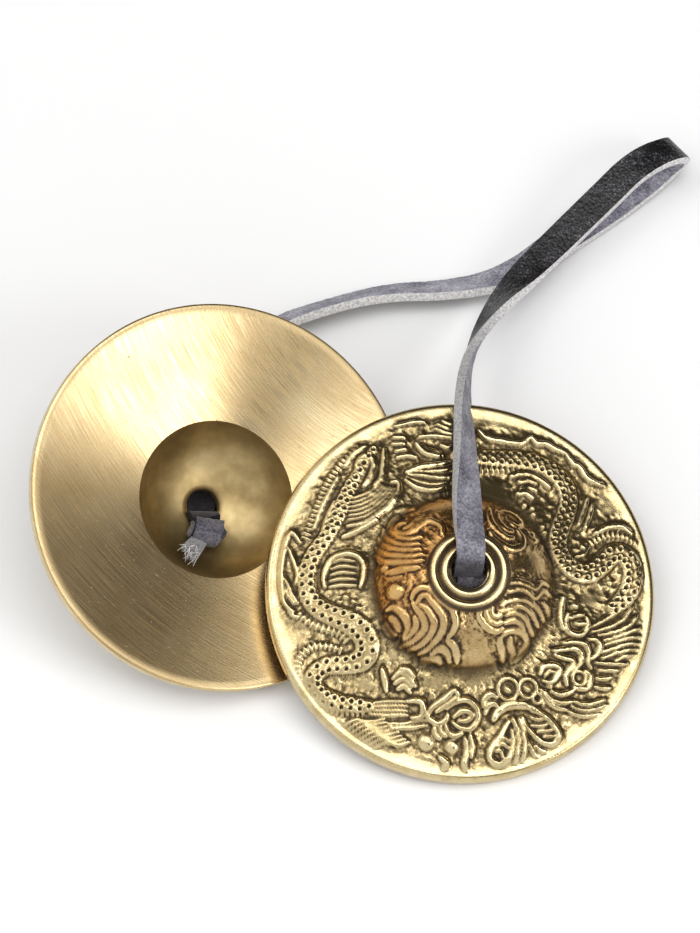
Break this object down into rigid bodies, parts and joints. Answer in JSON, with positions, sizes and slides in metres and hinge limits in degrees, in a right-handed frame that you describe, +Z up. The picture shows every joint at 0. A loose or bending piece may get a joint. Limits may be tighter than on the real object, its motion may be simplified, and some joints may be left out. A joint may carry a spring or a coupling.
{
  "type": "tingsha cymbals",
  "caption": "Small thick bell-domed brass cymbals with dragon and cloud relief, knotted to the ends of a flat leather lace that folds into a finger loop, lying as laid down.",
  "frame": {"origin": "on the table, under the middle of the box round the two cymbals", "axes": "+Z up from the table, +X along the pair from the left cymbal to the right one, +Y away from the viewer towards the finger loop"},
  "size_m": [0.1136, 0.1224, 0.03],
  "materials": {
    "brass": "cast brass, relief darkened in its hollows and rubbed bright on its crests, inside turned satin",
    "lace": "flat cut leather lace, smooth black grain side, grey suede flesh side, pale raw edges",
    "knot": "the same lace pulled tight into a knot, suede side mostly outward, frayed at its cut end"
  },
  "bodies": {
    "right_run": {"strap_right_run": "lace", "right_fold": "lace", "right_neck": "lace", "right_knot": "knot", "right_tail": "knot"},
    "right_cymbal": {"right_cymbal": "brass"},
    "loop": {"strap_loop": "lace", "strap_right_bend": "lace"},
    "left_bend": {"strap_left_bend": "lace"},
    "left_run": {"strap_left_run": "lace", "left_neck": "lace", "left_knot": "knot", "left_tail": "knot"},
    "left_cymbal": {"left_cymbal": "brass"}
  },
  "joints": [
    {"name": "right_cymbal_turn", "type": "hinge", "parent": "right_run", "child": "right_cymbal", "pos_m": [0.01918, -0.00629, 0.00644], "axis": [0.0813, -0.1827, 0.9798], "continuous": true},
    {"name": "finger_loop_lift", "type": "hinge", "parent": "right_run", "child": "loop", "pos_m": [0.02824, 0.0577, 0.0041], "axis": [0.5632, -0.8263, 0], "range_deg": [0, 75], "deforming": ["strap_right_bend", "strap_left_bend"]},
    {"name": "lower_limb_bend", "type": "hinge", "parent": "loop", "child": "left_bend", "pos_m": [0.02824, 0.0577, 0.0041], "axis": [0.5632, -0.8263, 0], "range_deg": [-75, 0]},
    {"name": "left_strap_swing", "type": "hinge", "parent": "left_bend", "child": "left_run", "pos_m": [0.02446, 0.058, 0.00195], "axis": [0, 0, -1], "range_deg": [0, 40]},
    {"name": "left_cymbal_turn", "type": "hinge", "parent": "left_run", "child": "left_cymbal", "pos_m": [-0.02017, 0.00702, 0.01615], "axis": [-0.3061, 0.2997, -0.9036], "continuous": true}
  ],
  "couplings": [
    {"joint": "lower_limb_bend", "follows": "finger_loop_lift", "ratio": -1}
  ]
}
